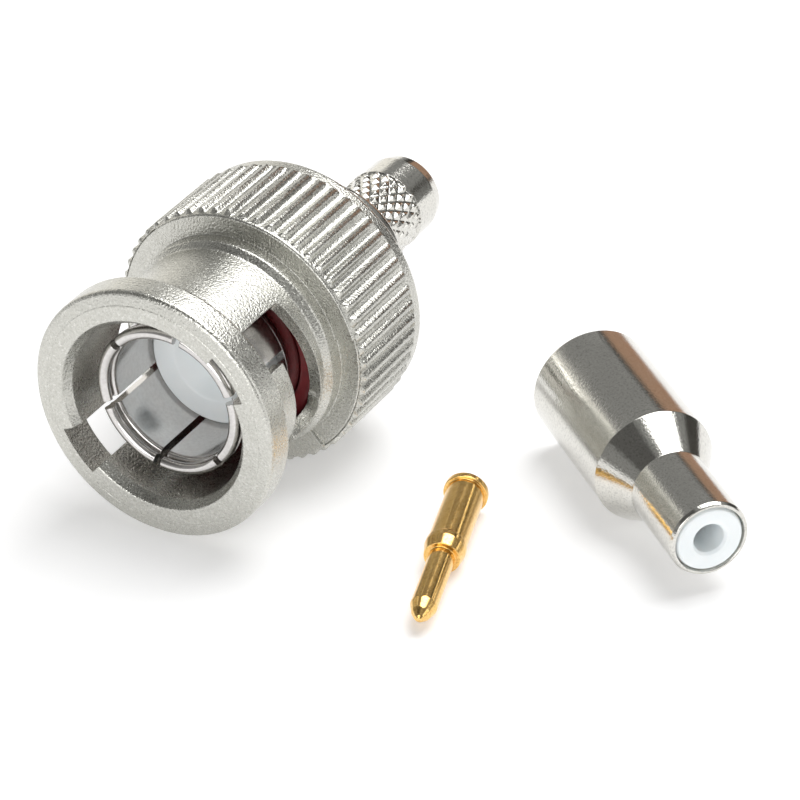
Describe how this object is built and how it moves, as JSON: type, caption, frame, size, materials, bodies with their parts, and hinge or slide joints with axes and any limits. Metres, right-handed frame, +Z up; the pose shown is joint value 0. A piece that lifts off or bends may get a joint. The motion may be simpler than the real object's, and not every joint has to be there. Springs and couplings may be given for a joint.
{
  "type": "bnc connector",
  "caption": "Crimp bayonet plug for coaxial cable, lying beside its loose gold centre contact and stepped crimp ferrule.",
  "frame": {"origin": "on the surface that the pieces lie on, under the middle of the whole set", "axes": "+Y along the plug's axis from its mating face to its crimp stem, +X towards the loose ferrule, +Z up"},
  "size_m": [0.035, 0.0268, 0.0145],
  "materials": {
    "satin_nickel": "satin nickel plate on blasted metal",
    "bright_nickel": "bright nickel plate",
    "contact_plate": "smooth pale plate",
    "gold_plate": "polished gold plate",
    "spring_steel": "rolled spring strip",
    "white_plastic": "smooth waxy white",
    "red_rubber": "soft semi-gloss rubber"
  },
  "bodies": {
    "plug": {"connector_body": "bright_nickel", "outer_contact": "contact_plate", "front_insulator": "white_plastic", "rear_insulator": "white_plastic", "gasket": "red_rubber", "wave_washer_1": "spring_steel", "wave_washer_2": "spring_steel", "centre_contact": "gold_plate", "ferrule": "bright_nickel", "ferrule_insert": "white_plastic"},
    "slider": {"thrust_washer": "spring_steel"},
    "nut": {"coupling_nut": "satin_nickel", "retaining_ring": "spring_steel"}
  },
  "joints": [
    {"name": "nut_slide", "type": "slide", "parent": "plug", "child": "slider", "axis": [0, -1, 0], "range_m": [0, 0.0006], "stiffness_N_per_m": 5000, "springref_m": -0.0006, "deforming": ["wave_washer_1", "wave_washer_2"]},
    {"name": "nut_spin", "type": "hinge", "parent": "slider", "child": "nut", "pos_m": [-0.01024, -0.0005, 0.00725], "axis": [0, 1, 0], "continuous": true}
  ]
}
